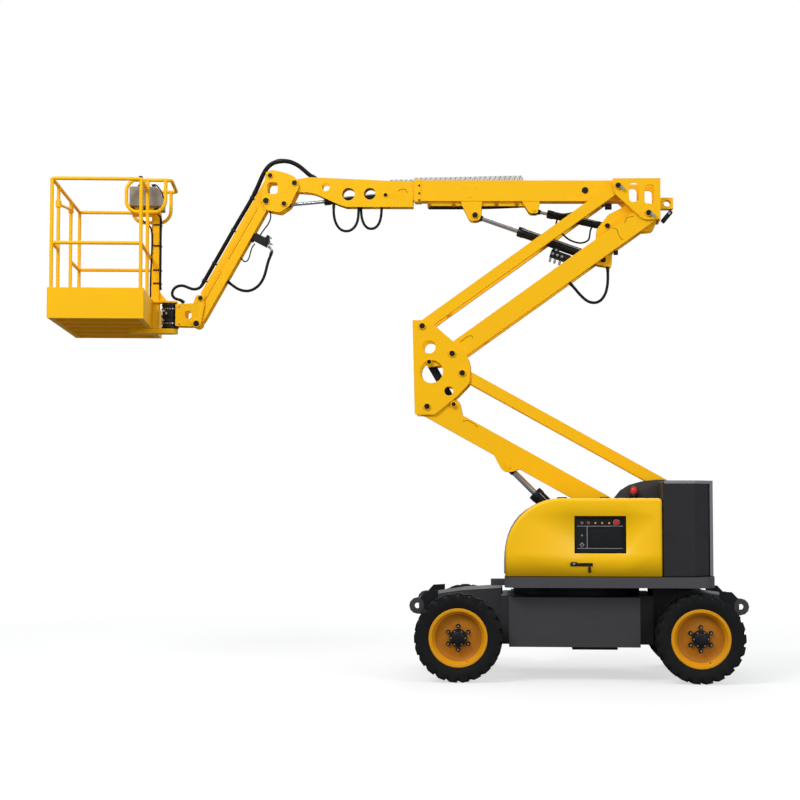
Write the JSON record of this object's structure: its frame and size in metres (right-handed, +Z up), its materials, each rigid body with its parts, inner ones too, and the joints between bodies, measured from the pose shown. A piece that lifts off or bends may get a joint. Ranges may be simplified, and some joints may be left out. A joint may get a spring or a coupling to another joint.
{
  "type": "articulating boom lift",
  "caption": "Wheeled lift with two folding risers, a telescoping boom and a jib that carry a railed platform, on a slewing turntable with hoods and a counterweight.",
  "frame": {"origin": "on the ground, under the middle of the whole machine's bounding box", "axes": "+X towards the counterweight end, so the boom reaches to -X; +Y towards the side away from the ground controls; +Z up"},
  "size_m": [6.1201, 1.9234, 4.5752],
  "materials": {
    "paint_yellow": "satin",
    "hood_yellow": "gloss",
    "paint_grey": "satin",
    "counterweight_grey": "satin",
    "wall_grey": "satin",
    "black_parts": "satin",
    "tyre_rubber": "matte",
    "rod_steel": "polished",
    "battery": "matte",
    "plastic_grey": "matte",
    "plastic_black": "matte",
    "track_grey": "matte",
    "hose_rubber": "matte"
  },
  "bodies": {
    "chassis": {"chassis_frame": "paint_grey", "side_box_near": "paint_grey", "side_box_far": "paint_grey", "battery_pack": "battery", "front_axle": "paint_grey", "rear_axle": "paint_grey", "slew_ring": "black_parts"},
    "steer_near": {"steer_knuckle_near": "paint_grey"},
    "steer_far": {"steer_knuckle_far": "paint_grey"},
    "wheel_front_near": {"tyre_front_near": "tyre_rubber", "rim_front_near": "paint_yellow"},
    "wheel_front_far": {"tyre_front_far": "tyre_rubber", "rim_front_far": "paint_yellow"},
    "wheel_rear_near": {"tyre_rear_near": "tyre_rubber", "rim_rear_near": "paint_yellow"},
    "wheel_rear_far": {"tyre_rear_far": "tyre_rubber", "rim_rear_far": "paint_yellow"},
    "turntable": {"turntable_frame": "paint_grey", "counterweight": "counterweight_grey", "channel_wall_near": "wall_grey", "channel_wall_far": "wall_grey", "ground_control_panel": "plastic_black"},
    "hood_near_side": {"hood_near": "hood_yellow"},
    "hood_far_side": {"hood_far": "hood_yellow"},
    "lower_riser": {"lower_arm": "paint_yellow"},
    "lower_riser_tie": {"lower_tie": "paint_yellow"},
    "knuckle_mid": {"mid_knuckle": "paint_yellow"},
    "riser_timing_link": {"timing_link": "paint_yellow"},
    "upper_riser": {"upper_arm": "paint_yellow"},
    "upper_riser_tie": {"upper_tie": "paint_yellow"},
    "knuckle_top": {"top_knuckle": "paint_yellow", "hose_top_knuckle": "hose_rubber"},
    "main_boom": {"boom_outer": "paint_yellow", "cable_track": "track_grey"},
    "boom_inner": {"boom_extension": "paint_yellow", "hose_extension": "hose_rubber", "hose_extension_rear": "hose_rubber"},
    "knuckle_jib": {"jib_knuckle": "paint_yellow", "hose_boom_to_knuckle": "hose_rubber", "hose_knuckle_to_jib": "hose_rubber"},
    "jib_lower": {"jib_lower_arm": "paint_yellow", "hose_jib_valve": "hose_rubber"},
    "jib_upper": {"jib_upper_arm": "paint_yellow"},
    "platform_head": {"platform_bracket": "paint_yellow", "rotator_body": "black_parts", "hose_jib_to_rotator": "hose_rubber"},
    "platform": {"platform_floor": "paint_yellow", "toe_boards": "paint_yellow", "platform_rails": "paint_yellow", "platform_column": "paint_yellow", "control_box": "plastic_grey"},
    "gate": {"gate_bar": "paint_yellow"},
    "riser_cyl_barrel": {"riser_cylinder_barrel": "black_parts"},
    "riser_cyl_rod": {"riser_cylinder_rod": "rod_steel"},
    "boom_cyl_barrel": {"boom_cylinder_barrel": "black_parts"},
    "boom_cyl_rod": {"boom_cylinder_rod": "rod_steel"},
    "level_cyl_barrel": {"level_cylinder_barrel": "black_parts"},
    "level_cyl_rod": {"level_cylinder_rod": "rod_steel"},
    "slave_cyl_barrel": {"slave_cylinder_barrel": "black_parts"},
    "slave_cyl_rod": {"slave_cylinder_rod": "rod_steel"}
  },
  "joints": [
    {"name": "steer_near", "type": "hinge", "parent": "chassis", "child": "steer_near", "pos_m": [0.62, -0.635, 0.368], "axis": [0, 0, 1], "range_deg": [-28, 28]},
    {"name": "steer_far", "type": "hinge", "parent": "chassis", "child": "steer_far", "pos_m": [0.62, 0.765, 0.368], "axis": [0, 0, 1], "range_deg": [-28.2, 28.2]},
    {"name": "spin_front_near", "type": "hinge", "parent": "steer_near", "child": "wheel_front_near", "pos_m": [0.62, -0.71, 0.368], "axis": [0, 1, 0], "continuous": true},
    {"name": "spin_front_far", "type": "hinge", "parent": "steer_far", "child": "wheel_front_far", "pos_m": [0.62, 0.84, 0.368], "axis": [0, 1, 0], "continuous": true},
    {"name": "spin_rear_near", "type": "hinge", "parent": "chassis", "child": "wheel_rear_near", "pos_m": [2.62, -0.71, 0.368], "axis": [0, 1, 0], "continuous": true},
    {"name": "spin_rear_far", "type": "hinge", "parent": "chassis", "child": "wheel_rear_far", "pos_m": [2.62, 0.84, 0.368], "axis": [0, 1, 0], "continuous": true},
    {"name": "slew", "type": "hinge", "parent": "chassis", "child": "turntable", "pos_m": [1.62, 0.065, 0.74], "axis": [0, 0, 1], "range_deg": [-177.5, 177.5]},
    {"name": "hood_near_lift", "type": "hinge", "parent": "turntable", "child": "hood_near_side", "pos_m": [1.62, -0.176, 1.528], "axis": [-1, 0, 0], "range_deg": [0, 75]},
    {"name": "hood_far_lift", "type": "hinge", "parent": "turntable", "child": "hood_far_side", "pos_m": [1.62, 0.306, 1.528], "axis": [1, 0, 0], "range_deg": [0, 75]},
    {"name": "riser_lift", "type": "hinge", "parent": "turntable", "child": "lower_riser", "pos_m": [2.153, 0.065, 1.309], "axis": [0, 1, 0], "range_deg": [-25.75, 38]},
    {"name": "lower_tie_swing", "type": "hinge", "parent": "turntable", "child": "lower_riser_tie", "pos_m": [2.463, 0.065, 1.602], "axis": [0, 1, 0], "range_deg": [-25.95, 38.2]},
    {"name": "knuckle_level", "type": "hinge", "parent": "lower_riser", "child": "knuckle_mid", "pos_m": [0.32076, 0.065, 2.3351], "axis": [0, 1, 0], "range_deg": [-38.2, 25.95]},
    {"name": "timing_link_swing", "type": "hinge", "parent": "lower_riser", "child": "riser_timing_link", "pos_m": [0.55476, 0.065, 2.3531], "axis": [0, 1, 0], "range_deg": [-27.19, 18.49]},
    {"name": "upper_riser_swing", "type": "hinge", "parent": "knuckle_mid", "child": "upper_riser", "pos_m": [0.54276, 0.065, 2.8001], "axis": [0, 1, 0], "range_deg": [-38.2, 25.95]},
    {"name": "upper_tie_swing", "type": "hinge", "parent": "knuckle_mid", "child": "upper_riser_tie", "pos_m": [0.27876, 0.065, 3.0451], "axis": [0, 1, 0], "range_deg": [-38.2, 25.95]},
    {"name": "top_knuckle_level", "type": "hinge", "parent": "upper_riser", "child": "knuckle_top", "pos_m": [2.26757, 0.065, 4.02586], "axis": [0, 1, 0], "range_deg": [-25.95, 38.2]},
    {"name": "riser_cyl_swing", "type": "hinge", "parent": "turntable", "child": "riser_cyl_barrel", "pos_m": [1.88, 0.065, 0.958], "axis": [0, 1, 0], "range_deg": [-23.98, 35.3]},
    {"name": "riser_cyl_stroke", "type": "slide", "parent": "riser_cyl_barrel", "child": "riser_cyl_rod", "axis": [-0.7071, 0, 0.7071], "range_m": [-0.18982, 0.27965]},
    {"name": "boom_lift", "type": "hinge", "parent": "knuckle_top", "child": "main_boom", "pos_m": [2.00357, 0.065, 4.27086], "axis": [0, 1, 0], "range_deg": [-1, 68]},
    {"name": "boom_cyl_swing", "type": "hinge", "parent": "knuckle_top", "child": "boom_cyl_barrel", "pos_m": [1.872, 0.065, 3.628], "axis": [0, 1, 0], "range_deg": [-0.97, 52.42], "deforming": ["hose_top_knuckle"]},
    {"name": "boom_cyl_stroke", "type": "slide", "parent": "boom_cyl_barrel", "child": "boom_cyl_rod", "axis": [-0.9398, 0, 0.3416], "range_m": [-0.01003, 0.6148]},
    {"name": "level_cyl_swing", "type": "hinge", "parent": "knuckle_top", "child": "level_cyl_barrel", "pos_m": [1.912, 0.065, 3.93], "axis": [0, 1, 0], "range_deg": [-1.03, 56.46]},
    {"name": "level_cyl_stroke", "type": "slide", "parent": "level_cyl_barrel", "child": "level_cyl_rod", "axis": [-0.9741, 0, 0.2262], "range_m": [-0.00626, 0.35874]},
    {"name": "boom_extend", "type": "slide", "parent": "main_boom", "child": "boom_inner", "axis": [-0.9999, 0, 0.014], "range_m": [0, 1.2]},
    {"name": "jib_knuckle_level", "type": "hinge", "parent": "boom_inner", "child": "knuckle_jib", "pos_m": [-0.869, 0.065, 4.346], "axis": [0, 1, 0], "range_deg": [-68.2, 1.2], "deforming": ["hose_boom_to_knuckle"]},
    {"name": "slave_cyl_swing", "type": "hinge", "parent": "boom_inner", "child": "slave_cyl_barrel", "pos_m": [-0.054, 0.065, 4.231], "axis": [0, 1, 0], "range_deg": [-0.21, 0.95]},
    {"name": "slave_cyl_stroke", "type": "slide", "parent": "slave_cyl_barrel", "child": "slave_cyl_rod", "axis": [-0.997, 0, -0.0779], "range_m": [-0.23386, 0.00442]},
    {"name": "jib_lift", "type": "hinge", "parent": "knuckle_jib", "child": "jib_lower", "pos_m": [-1.126, 0.065, 4.188], "axis": [0, 1, 0], "range_deg": [0, 130]},
    {"name": "jib_upper_swing", "type": "hinge", "parent": "knuckle_jib", "child": "jib_upper", "pos_m": [-1.089, 0.065, 4.416], "axis": [0, 1, 0], "range_deg": [-0.2, 130.2], "deforming": ["hose_knuckle_to_jib"]},
    {"name": "platform_level", "type": "hinge", "parent": "jib_lower", "child": "platform_head", "pos_m": [-1.75, 0.065, 3.0895], "axis": [0, 1, 0], "range_deg": [-130.2, 0.2], "deforming": ["hose_jib_to_rotator"]},
    {"name": "platform_rotate", "type": "hinge", "parent": "platform_head", "child": "platform", "pos_m": [-2.004, 0.065, 3.17], "axis": [0, 0, 1], "range_deg": [-87.2, 72.8]},
    {"name": "gate_lift", "type": "slide", "parent": "platform", "child": "gate", "axis": [0, 0, 1], "range_m": [-0.33, 0]}
  ],
  "couplings": [
    {"joint": "steer_far", "follows": "steer_near", "ratio": 1},
    {"joint": "lower_tie_swing", "follows": "riser_lift", "ratio": 1},
    {"joint": "knuckle_level", "follows": "riser_lift", "ratio": -1},
    {"joint": "timing_link_swing", "follows": "riser_lift", "ratio": -0.7103},
    {"joint": "upper_riser_swing", "follows": "riser_lift", "ratio": -1},
    {"joint": "upper_tie_swing", "follows": "riser_lift", "ratio": -1},
    {"joint": "top_knuckle_level", "follows": "riser_lift", "ratio": 1},
    {"joint": "riser_cyl_swing", "follows": "riser_lift", "ratio": 0.9236},
    {"joint": "riser_cyl_stroke", "follows": "riser_lift", "m_per_rad": 0.42014},
    {"joint": "boom_cyl_swing", "follows": "boom_lift", "ratio": 0.768},
    {"joint": "boom_cyl_stroke", "follows": "boom_lift", "m_per_rad": 0.51717},
    {"joint": "level_cyl_swing", "follows": "boom_lift", "ratio": 0.8274},
    {"joint": "level_cyl_stroke", "follows": "boom_lift", "m_per_rad": 0.30143},
    {"joint": "jib_knuckle_level", "follows": "boom_lift", "ratio": -1},
    {"joint": "slave_cyl_swing", "follows": "boom_lift", "ratio": 0.0111},
    {"joint": "slave_cyl_stroke", "follows": "boom_lift", "m_per_rad": -0.1962},
    {"joint": "jib_upper_swing", "follows": "jib_lift", "ratio": 1},
    {"joint": "platform_level", "follows": "jib_lift", "ratio": -1}
  ]
}
